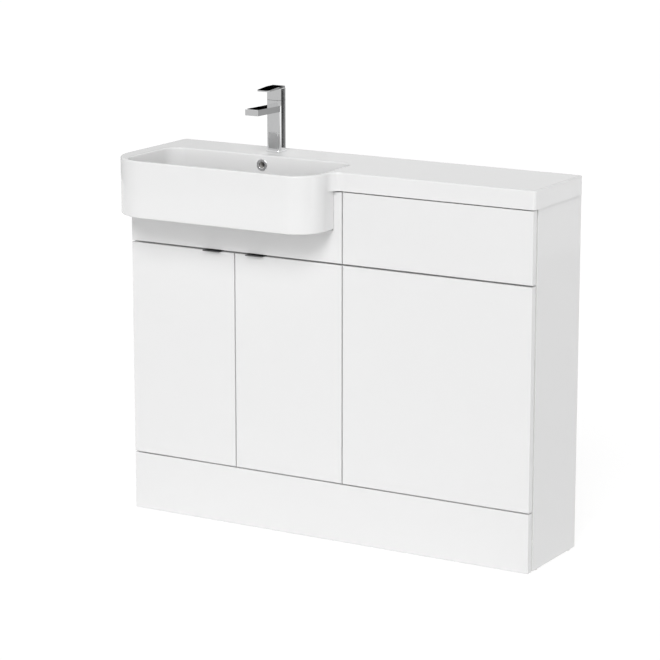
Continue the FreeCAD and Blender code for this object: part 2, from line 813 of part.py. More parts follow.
    rubber_z = z - s.slab_skin - s.clamp_rubber
    stud_y = y + s.stud_back
    stud_top = z - s.tap_spigot_drop + s.tap_inlet_depth
    keep(rod("tap_stud", x, stud_y, stud_top - s.stud_length, s.stud_radius, s.stud_length))
    levels = (("tap_rubber_washer", rubber_z, s.clamp_rubber),
              ("tap_clamp_plate", rubber_z - s.clamp_plate, s.clamp_plate))
    for label, low, thickness in levels:
        disc = rod(f"{label}_disc", x, y, low, s.clamp_radius, thickness)
        slot = block(f"{label}_slot", x - s.clamp_slot / 2, y - s.clamp_radius, low,
                     s.clamp_slot, s.clamp_radius + s.stud_radius / 2, thickness)
        stud_eye = rod(f"{label}_eye", x, stud_y, low, s.stud_radius + s.loose_fit, thickness)
        keep(cut(label, disc, [slot, stud_eye]))
    nut_z = rubber_z - s.clamp_plate - s.fixing_nut
    nut = prism("fixing_nut_blank", x, stud_y, nut_z, s.fixing_nut_flats, s.fixing_nut)
    nut_bore = rod("fixing_nut_bore", x, stud_y, nut_z, s.stud_radius + s.loose_fit, s.fixing_nut)
    keep(cut("tap_fixing_nut", nut, [nut_bore]))


# Fronts: lacquered boards with eased front edges, all in one plane
def front_board(label, x, z, width, height):
    body = new_body(label, x, face_y, z)
    face = new_sketch(body, f"{label}_face", "XZ_Plane")
    rectangle(face, 0, width, 0, height)
    pad(body, face, s.front_board, reverse=True)
    round_edges(body, f"{label}_ease", s.front_round, lambda box: near(box.YMin, 0) and near(box.YMax, 0))
    return body


def make_fronts():
    fascia = front_board("vanity_fascia", left_edge, fascia_z, s.vanity_width - s.reveal, s.fascia_height)
    notch = new_sketch(fascia, "basin_notch", "XZ_Plane")
    shift = basin_x - left_edge
    rectangle(notch, shift + s.rim_left - s.tub_wall - s.tub_notch_gap,
              shift + bowl_right + s.tub_wall + s.tub_notch_gap,
              basin_z - fascia_z - s.tub_notch_gap, s.fascia_height + s.top_gap)
    pocket(fascia, notch, s.front_board)
    keep(fascia)
    wc_width = s.wc_width - s.reveal
    keep(front_board("wc_fascia", split_x + s.reveal / 2, fascia_z, wc_width, s.fascia_height))
    keep(front_board("wc_access_panel", split_x + s.reveal / 2, door_z, wc_width, door_height))
    keep(front_board("plinth", left_edge, s.floor_gap, s.vanity_width + s.wc_width - s.reveal,
                     s.plinth_height - s.floor_gap))


def make_door(side, x, hinge_edge, inward):
    """A door with its cup hinges, bumpers and edge pull; inward is +1 or -1 along X."""
    door = front_board(f"{side}_door", x, door_z, door_width, door_height)
    cups = new_sketch(door, f"{side}_cup_holes", "XZ_Plane", -s.front_board)
    cup_in = s.cup_edge + s.cup_radius
    for level in hinge_levels:
        circle(cups, hinge_edge + inward * cup_in - x, level - door_z, s.cup_radius + s.loose_fit)
    pocket(door, cups, s.cup_depth + s.loose_fit, reverse=True)
    keep(door)

    cup_list, pin_list, arm_list, plate_list = [], [], [], []
    for index, level in enumerate(hinge_levels, 1):
        tag = f"{side}_hinge_{index}"
        cup_x = hinge_edge + inward * cup_in
        well_y = back_face_y - s.cup_depth
        shell = rod(f"{tag}_shell", cup_x, well_y, level, s.cup_radius, s.cup_depth, "Y")
        flange = block(f"{tag}_flange", cup_x - s.cup_flange_width / 2, back_face_y,
                       level - s.cup_flange_height / 2, s.cup_flange_width, s.cup_flange,
                       s.cup_flange_height)
        hollow = rod(f"{tag}_hollow", cup_x, well_y + s.cup_wall, level, s.cup_radius - s.cup_wall,
                     s.cup_depth + s.cup_flange, "Y")
        cup_list.append(cut(f"{tag}_cup", fuse(f"{tag}_cup_blank", [shell, flange]), [hollow]))
        pin_x = hinge_edge + inward * s.pin_inset
        pin_y = face_y + s.pin_depth
        pin_list.append(rod(f"{tag}_pin", pin_x, pin_y, level - s.pin_length / 2, s.pin_radius, s.pin_length))
        arm_list.append(hinge_arm(tag, pin_x, pin_y, level, inward, hinge_edge))
        plate_list.append(hinge_plate(tag, level, inward, hinge_edge))
    keep(group(f"{side}_hinge_cups", cup_list))
    keep(group(f"{side}_hinge_pins", pin_list))
    keep(group(f"{side}_hinge_arms", arm_list))
    keep(group(f"{side}_hinge_plates", plate_list))

    free_edge = hinge_edge + inward * door_width
    bumper_x = free_edge - inward * s.bumper_inset
    levels = (door_z + s.board / 2, door_top - s.bumper_inset)
    keep(group(f"{side}_door_bumpers", [
        rod(f"{side}_bumper_{index}", bumper_x, back_face_y, level, s.bumper_radius,
            s.front_gap - s.bumper_gap, "Y")
        for index, level in enumerate(levels, 1)]))

    middle_x = left_x + s.vanity_width / 2
    pull_x = middle_x - inward * s.pull_offset - s.pull_width / 2
    pull = new_body(f"{side}_pull", pull_x, face_y, door_top)
    section = new_sketch(pull, f"{side}_pull_section", "YZ_Plane")
    rectangle(section, -s.pull_reach, s.pull_seat, 0, s.pull_thickness)
    pad(pull, section, s.pull_width)
    round_edges(pull, f"{side}_pull_nose", s.pull_thickness / 3,
                lambda box: near(box.YMax, -s.pull_reach.value) and near(box.ZMin, box.ZMax))
    keep(pull)


def inner_face(hinge_edge, inward):
    """X of the side board's inner face beside a hinge."""
    return hinge_edge + inward * (s.board - s.reveal / 2)


def hinge_arm(tag, pin_x, pin_y, level, inward, hinge_edge):
    """A goose-neck strip from the pin, out of the cup and back along the side board."""
    body = new_body(f"{tag}_arm", pin_x, pin_y, level)
    rest = inner_face(hinge_edge, inward) - pin_x + inward * s.plate_height
    rest_out = rest + inward * s.arm_strip
    low, high = -s.arm_strip / 2, s.arm_strip / 2
    end = s.arm_end - s.pin_depth
    strip = new_sketch(body, f"{tag}_strip", "XY_Plane")
    outline(strip, [(0, low), (rest_out, low), (rest_out, end), (rest, end), (rest, high), (0, high)])
    pad(body, strip, s.arm_width, middle=True)
    bend = rest_out.value
    round_edges(body, f"{tag}_bend", s.arm_bend,
                lambda box: upright(box) and near(box.XMin, bend) and near(box.YMin, low.value))
    cheeks = new_sketch(body, f"{tag}_cheeks", "XY_Plane", s.arm_width / 2)
    start = s.arm_cheek_start - s.pin_depth
    cheek_in = rest - inward * s.arm_cheek_depth
    outline(cheeks, [(cheek_in, start), (rest_out, start), (rest_out, end), (cheek_in, end)])
    pad(body, cheeks, s.arm_cheek)
    lower = new_sketch(body, f"{tag}_lower_cheek", "XY_Plane", -s.arm_width / 2)
    outline(lower, [(cheek_in, start), (rest_out, start), (rest_out, end), (cheek_in, end)])
    pad(body, lower, s.arm_cheek, reverse=True)
    knuckle = new_sketch(body, f"{tag}_knuckle", "XY_Plane")
    circle(knuckle, 0, 0, s.knuckle_radius)
    pad(body, knuckle, s.arm_width, middle=True)
    eye = new_sketch(body, f"{tag}_eye", "XY_Plane")
    circle(eye, 0, 0, s.pin_radius + s.running_fit)
    pocket(body, eye, s.arm_width, middle=True)
    return body


def hinge_plate(tag, level, inward, hinge_edge):
    """A mounting plate on the side board: a rail for the arm and two screw wings."""
    inner = inner_face(hinge_edge, inward)

    def slab(label, height, start, end, tall):
        low_x = inner if inward > 0 else inner - height
        return block(f"{tag}_{label}", low_x, face_y + start, level - tall / 2, height, end - start, tall)

    rail = slab("rail", s.plate_height, s.plate_start, s.plate_end, s.arm_width - 2 * s.loose_fit)
    middle = (s.plate_start + s.plate_end) / 2
    wings = slab("wings", s.plate_wing, middle - s.plate_wing_width / 2, middle + s.plate_wing_width / 2,
                 s.plate_wing_height)
    return fuse(f"{tag}_plate", [rail, wings])


# Push-fit clips: a stud on the panel and a bushed socket in the board behind it
def clip_stud(label, x, z):
    disc = rod(f"{label}_disc", x, back_face_y, z, s.clip_disc, s.clip_disc_thickness, "Y")
    pin = rod(f"{label}_pin", x, back_face_y, z, s.clip_pin, s.front_gap + s.clip_pin_reach, "Y")
    return fuse(label, [disc, pin])


def clip_socket(label, x, z):
    flange = rod(f"{label}_flange", x, carcass_y - s.clip_flange, z, s.clip_disc, s.clip_flange, "Y")
    bush = rod(f"{label}_bush", x, carcass_y, z, s.clip_bush, s.clip_bush_length, "Y")
    bore = rod(f"{label}_bore", x, carcass_y - s.clip_flange, z, s.clip_pin + s.loose_fit,
               s.clip_flange + s.clip_bush_length, "Y")
    return cut(label, fuse(f"{label}_blank", [flange, bush]), [bore])


def clip_hole(label, x, z):
    return rod(label, x, carcass_y, z, s.clip_bush + s.loose_fit, s.clip_bush_length + s.loose_fit, "Y")


side_places = {
    "vanity_side_left": left_x,
    "vanity_side_right": split_x - s.board,
    "wc_side_left": split_x,
    "wc_side_right": right_x - s.board,
}
plinth_clip_z = s.plinth_height / 2
wc_low_z = door_z
wc_mid_z = fascia_z - s.door_gap / 2 - s.wc_rail_height / 2
panel_clips = [(wc_middle_x + side * s.clip_spread / 2, z)
               for z in (wc_low_z + s.clip_inset, wc_mid_z + s.clip_inset / 2)
               for side in (-1, 1)]
bolt_places = [(carcass_y + s.bolt_inset, slab_z - s.bolt_inset),
               (wall_y - s.bolt_inset, slab_z - s.bolt_inset),
               (carcass_y + s.bolt_inset, door_z + s.bolt_inset),
               (wall_y - s.bolt_inset, door_z + s.bolt_inset)]
peg_places = [(carcass_y + s.peg_inset, "front"), (wall_y - s.shelf_back_gap - s.peg_inset, "back")]
peg_z = s.shelf_height - s.peg_radius


# Carcasses: two boxes of board, bolted together
def make_sides():
    for label, x in side_places.items():
        board = block(f"{label}_board", x, carcass_y, s.foot_height, s.board, carcass_deep,
                      slab_z - s.foot_height)
        tools = [clip_hole(f"{label}_clip_hole", x + s.board / 2, plinth_clip_z)]
        if label in ("vanity_side_right", "wc_side_left"):
            tools += [rod(f"{label}_bolt_{index}", x, y, z, s.bolt_radius + s.loose_fit, s.board, "X")
                      for index, (y, z) in enumerate(bolt_places, 1)]
        if label.startswith("vanity"):
            depth = s.peg_length / 2 + s.loose_fit
            start = x + s.board - depth if label.endswith("left") else x
            tools += [rod(f"{label}_peg_{name}", start, y, peg_z, s.peg_radius + s.loose_fit, depth, "X")
                      for y, name in peg_places]
        keep(cut(label, board, tools))
    glides = []
    for label, x in side_places.items():
        for name, y in (("front", carcass_y + s.glide_inset), ("back", wall_y - s.glide_inset)):
            glides.append(rod(f"{label}_glide_{name}", x + s.board / 2, y, 0, s.glide_radius, s.foot_height))
    keep(group("glides", glides))


def make_vanity_carcass():
    x = left_x + s.board
    keep(block("vanity_floor", x, carcass_y, door_z, vanity_inner, carcass_deep, s.board))
    rail_top = basin_z - s.front_rail_drop
    keep(block("vanity_front_rail", x, carcass_y, rail_top - s.front_rail_height,
               vanity_inner, s.board, s.front_rail_height))
    keep(block("vanity_foot_rail", x, wall_y - s.board, door_z + s.board,
               vanity_inner, s.board, s.back_rail_height))
    keep(wall_rail("vanity_back_rail", x, vanity_inner, s.vanity_wall_holes))
    inner_right = split_x - s.board
    keep(block("shelf", x + s.shelf_side_gap, carcass_y + s.shelf_setback, s.shelf_height,
               vanity_inner - 2 * s.shelf_side_gap,
               carcass_deep - s.shelf_setback - s.shelf_back_gap, s.board))
    keep(group("shelf_pegs", [
        rod(f"peg_{name}_{side}", start - s.peg_length / 2, y, peg_z, s.peg_radius, s.peg_length, "X")
        for y, name in peg_places for side, start in (("left", x), ("right", inner_right))]))


def wall_rail(label, x, length, spacing):
    """A board across the back, under the top, with two holes for wall screws."""
    z = slab_z - s.back_rail_height
    board = block(f"{label}_board", x, wall_y - s.board, z, length, s.board, s.back_rail_height)
    holes = [rod(f"{label}_hole_{index}", x + length / 2 + side * spacing / 2, wall_y - s.board,
                 z + s.back_rail_height / 2, s.wall_hole, s.board, "Y")
             for index, side in enumerate((-1, 1), 1)]
    return cut(label, board, holes)


def make_wc_carcass():
    x = split_x + s.board
    keep(block("wc_top_rail", x, carcass_y, slab_z - s.wc_rail_height, wc_inner, s.board, s.wc_rail_height))
    for label, z, clips in (("wc_mid_rail", wc_mid_z, panel_clips[2:]),
                            ("wc_low_rail", wc_low_z, panel_clips[:2])):
        board = block(f"{label}_board", x, carcass_y, z, wc_inner, s.board, s.wc_rail_height)
        holes = [clip_hole(f"{label}_hole_{index}", clip_x, clip_z)
                 for index, (clip_x, clip_z) in enumerate(clips, 1)]
        keep(cut(label, board, holes))
    keep(wall_rail("wc_back_rail", x, wc_inner, s.wc_wall_holes))


def make_fittings():
    bolts = []
    for index, (y, z) in enumerate(bolt_places, 1):
        sleeve = rod(f"bolt_{index}_sleeve", split_x - s.board, y, z, s.bolt_radius, 2 * s.board, "X")
        caps = [rod(f"bolt_{index}_cap_left", split_x - s.board - s.bolt_cap, y, z, s.bolt_head,
                    s.bolt_cap, "X"),
                rod(f"bolt_{index}_cap_right", split_x + s.board, y, z, s.bolt_head, s.bolt_cap, "X")]
        bolts.append(fuse(f"bolt_{index}", [sleeve] + caps))
    keep(group("carcass_bolts", bolts))

    vanity_z = basin_z - s.front_rail_drop - s.spacer_inset / 2
    wc_low_spacer = fascia_z + s.spacer_radius * 2
    spots = [(left_x + s.spacer_inset, vanity_z), (split_x - s.spacer_inset, vanity_z),
             (split_x + s.spacer_inset, slab_z - s.wc_rail_height / 2),
             (right_x - s.spacer_inset, slab_z - s.wc_rail_height / 2),
             (split_x + s.spacer_inset, wc_low_spacer), (right_x - s.spacer_inset, wc_low_spacer)]
    keep(group("fascia_spacers", [
        rod(f"spacer_{index}", x, back_face_y, z, s.spacer_radius, s.front_gap, "Y")
        for index, (x, z) in enumerate(spots, 1)]))

    keep(group("panel_clip_studs", [clip_stud(f"panel_stud_{index}", x, z)
                                    for index, (x, z) in enumerate(panel_clips, 1)]))
    keep(group("panel_clip_sockets", [clip_socket(f"panel_socket_{index}", x, z)
                                      for index, (x, z) in enumerate(panel_clips, 1)]))
    plinth_clips = [x + s.board / 2 for x in side_places.values()]
    keep(group("plinth_clip_studs", [clip_stud(f"plinth_stud_{index}", x, plinth_clip_z)
                                     for index, x in enumerate(plinth_clips, 1)]))
    keep(group("plinth_clip_sockets", [clip_socket(f"plinth_socket_{index}", x, plinth_clip_z)
                                       for index, x in enumerate(plinth_clips, 1)]))


def check_and_write():
    """Stop on any failed object, then write each sub-part."""
    doc.recompute()
    for obj in doc.Objects:
        if "Invalid" in obj.State or "Error" in obj.State:
            raise RuntimeError(f"{obj.Label} failed: {obj.State}")
    for node in nodes:
        if node.Shape.isNull() or not node.Shape.isValid() or not node.Shape.Solids:
            raise RuntimeError(f"{node.Label} has no valid solid")
    os.makedirs("parts", exist_ok=True)
    for node in nodes:
        node.Shape.exportStep(f"parts/{node.Label}.step")
        box = node.Shape.BoundBox
        print(f"{node.Label}: {len(node.Shape.Solids)} solids, volume {node.Shape.Volume / 1000:.1f} cm3, "
              f"{box.XLength:.1f} x {box.YLength:.1f} x {box.ZLength:.1f}")


make_basin_top()
make_overflow_ring()
make_waste()
make_tap()
make_fronts()
make_door("left", left_edge, left_edge, 1)
make_door("right", right_edge - door_width, right_edge, -1)
make_sides()
make_vanity_carcass()
make_wc_carcass()
make_fittings()
check_and_write()
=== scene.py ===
"""Looks for the combination vanity unit: finishes, small fasteners and a plain studio."""
import math

import bmesh
import bpy
from mathutils import Matrix, Vector


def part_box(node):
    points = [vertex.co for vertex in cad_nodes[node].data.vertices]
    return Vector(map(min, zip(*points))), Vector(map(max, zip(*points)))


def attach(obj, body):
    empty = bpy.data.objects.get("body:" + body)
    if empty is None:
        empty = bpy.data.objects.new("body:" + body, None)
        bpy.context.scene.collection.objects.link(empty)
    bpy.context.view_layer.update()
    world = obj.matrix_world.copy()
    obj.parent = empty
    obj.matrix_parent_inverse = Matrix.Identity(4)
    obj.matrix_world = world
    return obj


bl_info = {
    "name": "Combination vanity unit",
    "version": (1, 0, 0),
    "blender": (4, 5, 0),
    "location": "View3D > Sidebar > Vanity unit",
    "description": "Dresses the vanity unit with its finishes, fasteners and studio",
    "category": "Object",
}

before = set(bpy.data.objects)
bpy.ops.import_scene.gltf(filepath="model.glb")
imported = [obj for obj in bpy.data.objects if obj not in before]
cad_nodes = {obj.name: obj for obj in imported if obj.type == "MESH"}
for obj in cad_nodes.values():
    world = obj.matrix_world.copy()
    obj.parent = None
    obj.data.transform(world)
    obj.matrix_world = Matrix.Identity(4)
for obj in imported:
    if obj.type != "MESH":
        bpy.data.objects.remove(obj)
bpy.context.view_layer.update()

GLOSS_FRONTS = ("vanity_fascia", "wc_fascia", "wc_access_panel", "plinth", "left_door", "right_door")
END_PANELS = {"vanity_side_left": -1, "wc_side_right": 1}
INNER_BOARDS = ("vanity_side_right", "wc_side_left", "vanity_floor", "vanity_front_rail",
                "vanity_foot_rail", "vanity_back_rail", "shelf", "wc_top_rail", "wc_mid_rail",
                "wc_low_rail", "wc_back_rail")
CHROME_PIECES = ("overflow_ring", "waste_body", "waste_plug", "tap_base_plate", "tap_body", "tap_lever")
PULLS = ("left_pull", "right_pull")
BRASS_PIECES = ("waste_backnut", "tap_stud", "tap_fixing_nut")
STEEL_PIECES = ("left_hinge_cups", "left_hinge_pins", "left_hinge_arms", "left_hinge_plates",
                "right_hinge_cups", "right_hinge_pins", "right_hinge_arms", "right_hinge_plates",
                "carcass_bolts", "shelf_pegs", "tap_clamp_plate", "tap_cartridge_nut", "tap_spindle")
RUBBER_PIECES = ("waste_washer", "plug_seal", "tap_rubber_washer")
BUMPERS = ("left_door_bumpers", "right_door_bumpers")
WHITE_MOULDINGS = ("waste_guide", "tap_aerator", "tap_cartridge", "fascia_spacers", "panel_clip_studs",
                   "panel_clip_sockets", "plinth_clip_studs", "plinth_clip_sockets", "glides")

MM = 0.001
FACING = 0.5                        # a normal with more than this along a side faces that side
COATING_IOR = 1.5                   # of lacquer, board facing and gel coat

# Basin top, in the CAD's frame
TOP_SKIN = 15.9 * MM
BOWL_HALF_WIDTH = 262.5 * MM
BOWL_BACK = 54.5 * MM
PAINTED_SHADE_DEPTHS = (-20 * MM, 50 * MM)   # depths below the rim between which the painted shade in the bowl deepens
EDGE_MARGIN = 2 * MM                # kept off the outer sides, the rim and the bowl's floor
REAR_MARGIN = 1.5 * MM
FASCIA_MARGIN = 0.5 * MM
BOWL_UNDER = 10 * MM                # how far under the bowl's floor the gel coat reaches

# Fasteners
HINGE_HALF_HEIGHT = 24 * MM
CUP_SCREW_OFFSETS = {"a": -24 * MM, "b": 24 * MM}
PLATE_SCREW_OFFSETS = {"a": -17 * MM, "b": 17 * MM}
ARM_SCREW_SETBACKS = {"a": 12 * MM, "b": 34 * MM}
PLATE_WING = 2 * MM
SCREW_TURNS = 40                    # flats round a screw head
SCREEN_RADIUS = 8.2 * MM
SCREEN_THICKNESS = 0.8 * MM
SCREEN_LIFT = 1.2 * MM

# Colours that no setting holds
BLACK = (0.0, 0.0, 0.0)
WHITE = (1.0, 1.0, 1.0)
CHIPS_DARK, CHIPS_PALE = (0.36, 0.24, 0.13), (0.70, 0.54, 0.35)
FILLER_DARK, FILLER_PALE = (0.43, 0.425, 0.41), (0.66, 0.65, 0.63)
BRASS_BRIGHT, BRASS_DULL = (0.78, 0.60, 0.30), (0.60, 0.45, 0.23)
NICKEL_BRIGHT, NICKEL_DULL = (0.70, 0.70, 0.69), (0.58, 0.58, 0.58)
RUBBER_COLOUR = (0.025, 0.025, 0.026)
BUMPER_COLOUR = (0.72, 0.74, 0.75)
MOULDING_COLOUR = (0.8, 0.8, 0.79)

# Studio
SENSOR_WIDTH = 36.0
FLOOR_SPAN = 60.0
FLOOR_SHADOW_GREY = 0.2
FLOOR_WHITE = 0.88
KEY_PLACE = (1.35, -3.7, 3.08)
SKY_RISE = (0.0, 0.7)               # heights between which the low light gives way to the high one
SIDE_SPREAD = (-0.1, 1.0)           # how far round each side's fill reaches
CARD_RADIUS = 0.95
CARD_STEP = 6                       # degrees that one flat of a card covers

# Cards that only mirrors see: name, radius, turns in degrees from the front to the right, heights,
# level, and the longest ray that sees the card
CARDS = (
    ("grey_screen_front", CARD_RADIUS, (-115, 64), (0.72, 1.2), 0.6, None),
    ("white_screen_right", CARD_RADIUS, (64, 140), (0.68, 0.884), 1.2, None),
    ("grey_screen_right", CARD_RADIUS, (64, 140), (0.884, 1.2), 0.6, None),
    ("grey_screen_rear", CARD_RADIUS, (140, 175), (0.68, 0.99), 0.36, None),
    ("dark_rod_rear", 0.785, (146.9, 147.55), (0.74, 0.98), 0.02, None),
    ("grey_screen_left", CARD_RADIUS, (175, 200), (0.68, 0.99), 0.5, None),
    ("dark_screen_left", CARD_RADIUS, (222, 245), (0.68, 0.99), 0.2, None),
    ("dark_screen_rear", 0.12, (195, 248), (0.985, 1.16), 0.0, 0.23),
    ("pale_screen_rear_1", CARD_RADIUS, (203, 211), (1.0, 1.13), 0.95, None),
    ("pale_screen_rear_2", CARD_RADIUS, (211, 219), (1.0, 1.13), 0.9, None),
    ("pale_screen_rear_3", CARD_RADIUS, (219, 250), (1.0, 1.13), 0.85, None),
)


class Field:
    """A shader socket that works as a number in Python expressions."""

    def __init__(self, finish, socket):
        self.finish = finish
        self.socket = socket

    def maths(self, operation, *values):
        """The result of a Math node."""
        return self.finish.node("ShaderNodeMath", {"operation": operation}, dict(enumerate(values)))

    def __add__(self, other):
        return self.maths("ADD", self, other)

    def __radd__(self, other):
        return self.maths("ADD", other, self)

    def __sub__(self, other):
        return self.maths("SUBTRACT", self, other)

    def __rsub__(self, other):
        return self.maths("SUBTRACT", other, self)

    def __mul__(self, other):
        return self.maths("MULTIPLY", self, other)

    def __rmul__(self, other):
        return self.maths("MULTIPLY", other, self)

    def __gt__(self, other):
        return self.maths("GREATER_THAN", self, other)

    def __lt__(self, other):
        return self.maths("LESS_THAN", self, other)

    def largest(self, other):
        return self.maths("MAXIMUM", self, other)

    def size(self):
        return self.maths("ABSOLUTE", self)

    def steps(self, low, high):
        """0 up to low, 1 from high and smooth between them."""
        return self.finish.node("ShaderNodeMapRange", {"interpolation_type": "SMOOTHSTEP"},
                                {"Value": self, "From Min": low, "From Max": high})


class Finish:
    """A node tree that is written node by node."""

    def __init__(self, tree):
        self.tree = tree
        tree.nodes.clear()

    @staticmethod
    def pick(sockets, key):
        """A socket by its number, identifier or name."""
        if isinstance(key, int):
            return sockets[key]
        for socket in sockets:
            if socket.identifier == key:
                return socket
        return sockets[key]

    def node(self, kind, settings=None, sockets=None, output=0):
        """Add a node: its settings first, then the values or links of its sockets."""
        made = self.tree.nodes.new(kind)
        for name, value in (settings or {}).items():
            setattr(made, name, value)
        for key, value in (sockets or {}).items():
            socket = self.pick(made.inputs, key)
            if isinstance(value, Field):
                self.tree.links.new(value.socket, socket)
            else:
                socket.default_value = value
        return Field(self, self.pick(made.outputs, output)) if len(made.outputs) else None

    def place(self):
        """Position in the piece's own frame, in metres."""
        return self.node("ShaderNodeTexCoord", output="Object")

    def facing(self):
        """Which way the surface faces in the piece's own frame, as x, y and z."""
        normal = self.node("ShaderNodeTexCoord", output="Normal")
        return self.split(normal)

    def split(self, vector):
        """The three parts of a vector."""
        parts = self.node("ShaderNodeSeparateXYZ", sockets={"Vector": vector})
        outputs = parts.socket.node.outputs
        return [Field(self, outputs[index]) for index in range(3)]

    def stretch(self, vector, scale):
        """A vector times another, part by part."""
        return self.node("ShaderNodeVectorMath", {"operation": "MULTIPLY"}, {0: vector, 1: scale})

    def noise(self, place, scale, detail=2.0, roughness=0.5):
        """Soft noise around a half."""
        return self.node("ShaderNodeTexNoise", sockets={
            "Vector": place, "Scale": scale, "Detail": detail, "Roughness": roughness})

    def cells(self, place, scale):
        """One random grey value for each cell of a broken-up pattern."""
        colour = self.node("ShaderNodeTexVoronoi", sockets={"Vector": place, "Scale": scale},
                           output="Color")
        return self.split(colour)[0]

    def blend(self, factor, first, second):
        """From the first colour to the second."""
        return self.node("ShaderNodeMix", {"data_type": "RGBA"},
                         {"Factor_Float": factor, "A_Color": first, "B_Color": second}, "Result_Color")

    def bump(self, height, distance, strength):
        """A normal from a height field."""
        return self.node("ShaderNodeBump", sockets={
            "Height": height, "Distance": distance, "Strength": strength})

    def surface(self, **sockets):
        """The closing shader of a material."""
        shader = self.node("ShaderNodeBsdfPrincipled", sockets=sockets)
        self.node("ShaderNodeOutputMaterial", sockets={"Surface": shader})


def new_finish(name):
    """An empty material and the writer of its nodes."""
    material = bpy.data.materials.new(name)
    material.use_nodes = True
    return material, Finish(material.node_tree)


def rgba(colour, level=1.0):
    """A colour at a level, as a shader takes it."""
    return (*(level * part for part in colour), 1.0)


def corners(node):
    """Lowest and highest corner of a CAD node's box."""
    return [Vector(corner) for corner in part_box(node)]


def dress(names, material):
    """Give CAD nodes a finish."""
    for name in names:
        slots = cad_nodes[name].data.materials
        slots.clear()
        slots.append(material)


def middle(node):
    """Middle of a CAD node's box."""
    low, high = corners(node)
    return (low + high) / 2


def gloss_lacquer(looks):
    """High-gloss white lacquer with a faint orange peel; the hidden back is satin white paper."""
    material, finish = new_finish("gloss_white_lacquer")
    place = finish.place()
    faces = finish.facing()
    drift = finish.noise(place, scale=2.3)
    coarse_peel = finish.noise(place, scale=260.0)
    fine_peel = finish.noise(place, scale=900.0, detail=1.0)
    peel = coarse_peel * 0.7 + fine_peel * 0.3
    back = faces[1] > FACING
    lacquer = looks.lacquer_colour
    colour = finish.blend(drift, rgba(lacquer), rgba(lacquer, 0.985))
    colour = finish.blend(back, colour, rgba(looks.melamine_colour))
    shine = looks.lacquer_roughness + finish.noise(place, scale=9.0, detail=3.0) * 0.03
    finish.surface(**{
        "Base Color": colour,
        "Roughness": shine + back * (looks.melamine_roughness - looks.lacquer_roughness),
        "Normal": finish.bump(peel, distance=0.02 * MM, strength=0.35),
        "IOR": COATING_IOR,
    })
    return material


def chipboard(finish, place):
    """Colour and height of a raw chipboard edge."""
    flakes = finish.cells(finish.stretch(place, (1.0, 1.0, 2.2)), scale=420.0)
    chips = finish.cells(finish.stretch(place, (1.6, 1.0, 1.0)), scale=1100.0)
    mixed = flakes * 0.6 + chips * 0.4
    colour = finish.blend(mixed.steps(0.15, 0.85), rgba(CHIPS_DARK), rgba(CHIPS_PALE))
    return colour, mixed


def thin_side(node):
    """Which of X, Y and Z a board's thickness lies along, as 0, 1 or 2."""
    low, high = corners(node)
    spans = list(high - low)
    return spans.index(min(spans))


def board(looks, name, thin, gloss_side=0):
    """Faced chipboard: satin white broad faces and front edges, all the other edges raw.

    thin is the side that the thickness lies along, and gloss_side is -1 or 1 for an end panel
    whose outer face along X is lacquered.
    """
    material, finish = new_finish(name)
    place = finish.place()
    faces = finish.facing()
    raw = 1 - (faces[thin].size() > FACING).largest(faces[1] < -FACING)
    core, core_height = chipboard(finish, place)
    grain = finish.noise(place, scale=700.0)
    drift = finish.noise(place, scale=3.0)
    facing = looks.melamine_colour
    white = finish.blend(drift, rgba(facing), rgba(facing, 0.98))
    shine = looks.melamine_roughness + (grain - 0.5) * 0.08
    if gloss_side:
        gloss = faces[0] * float(gloss_side) > FACING
        white = finish.blend(gloss, white, rgba(looks.lacquer_colour))
        shine = shine + gloss * (looks.lacquer_roughness - looks.melamine_roughness)
    height = grain * 0.05 + raw * core_height
    finish.surface(**{
        "Base Color": finish.blend(raw, white, core),
        "Roughness": shine.largest(raw * 0.85),
        "Normal": finish.bump(height, distance=0.15 * MM, strength=0.5),
        "IOR": COATING_IOR,
    })
    return material


